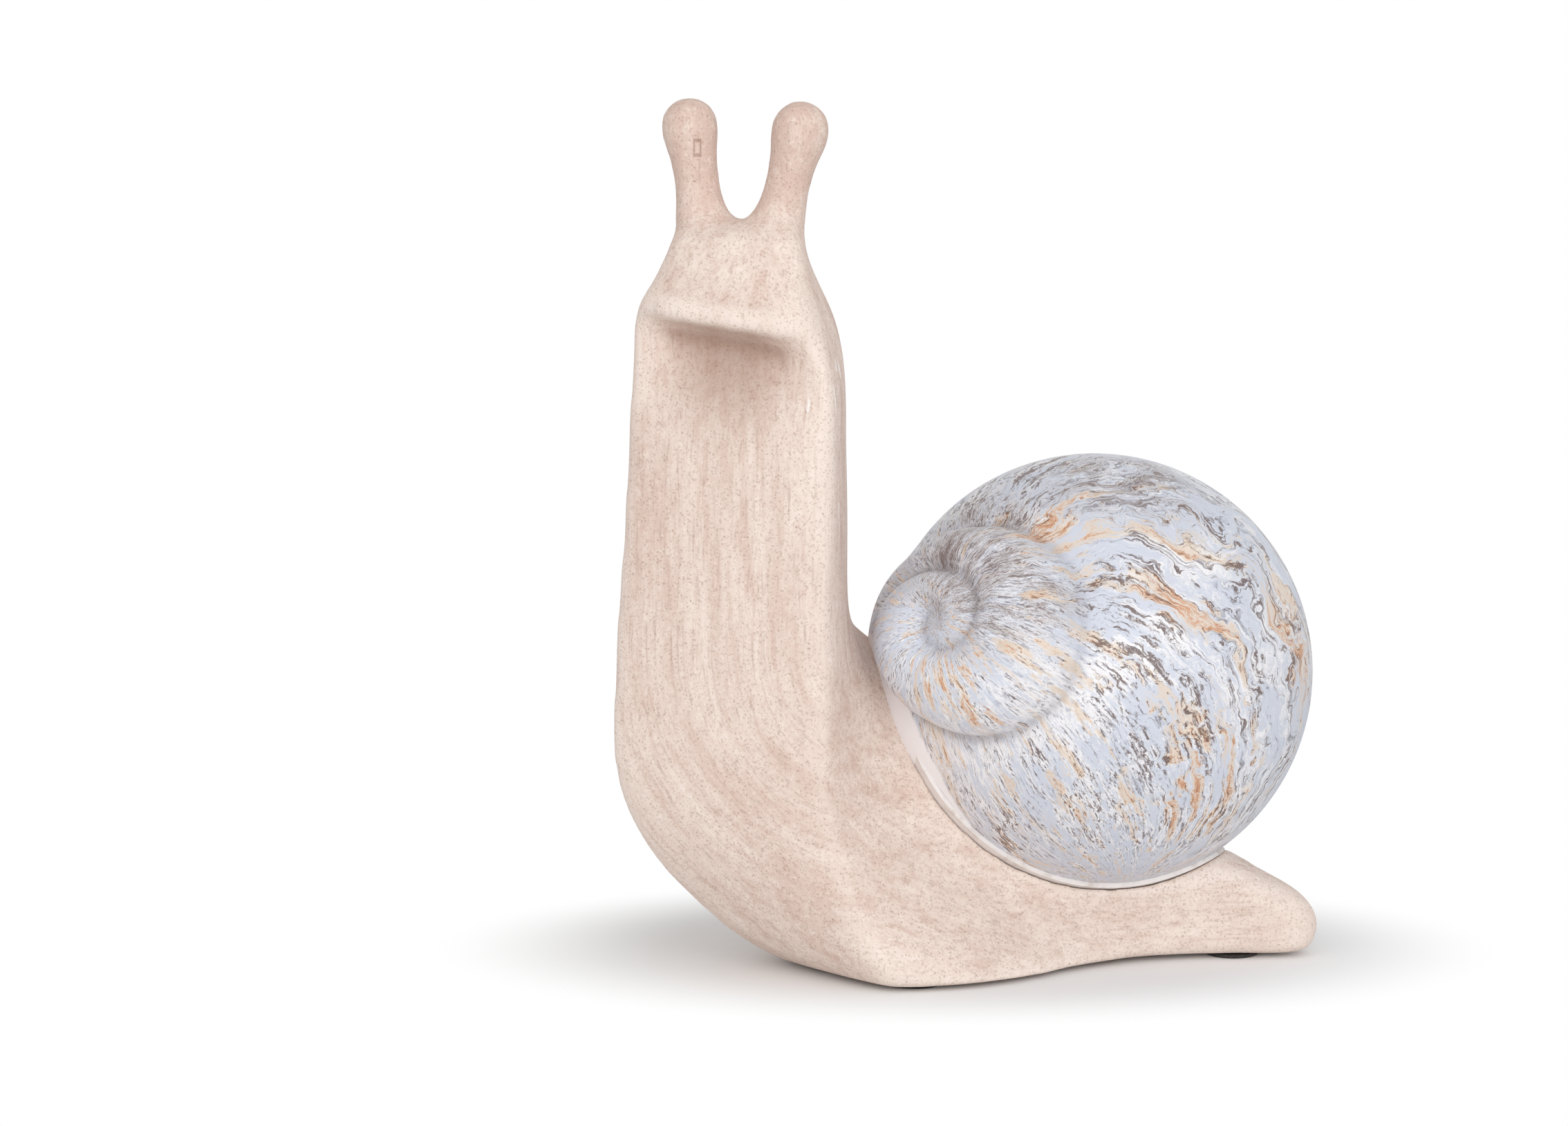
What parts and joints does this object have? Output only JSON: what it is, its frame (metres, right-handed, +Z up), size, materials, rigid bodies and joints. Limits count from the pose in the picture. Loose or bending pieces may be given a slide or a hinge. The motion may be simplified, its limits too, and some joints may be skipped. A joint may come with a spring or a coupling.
{
  "type": "snail figurine",
  "caption": "Free-standing ceramic snail ornament with an upright neck, eye stalks and a coiled shell bedded on its back, resting on felt pads.",
  "frame": {"origin": "middle of the part's box, on the floor under the felt pads", "axes": "+Z up, +X along the foot towards the tail, -Y the side the head faces"},
  "size_m": [0.1648, 0.1027, 0.1999],
  "materials": {
    "washed_ceramic": "matt, brushed beige wash with fine dark speckle",
    "stone_film_ceramic": "satin film with a grey, white and tan stone pattern",
    "white_slip": "matt white",
    "felt": "matt dark felt"
  },
  "bodies": {
    "root": {"body": "washed_ceramic", "left_eye_stalk": "washed_ceramic", "right_eye_stalk": "washed_ceramic", "shell": "stone_film_ceramic", "shell_seam": "white_slip", "felt_pad_front_near": "felt", "felt_pad_front_far": "felt", "felt_pad_middle": "felt", "felt_pad_tail": "felt"}
  },
  "joints": []
}
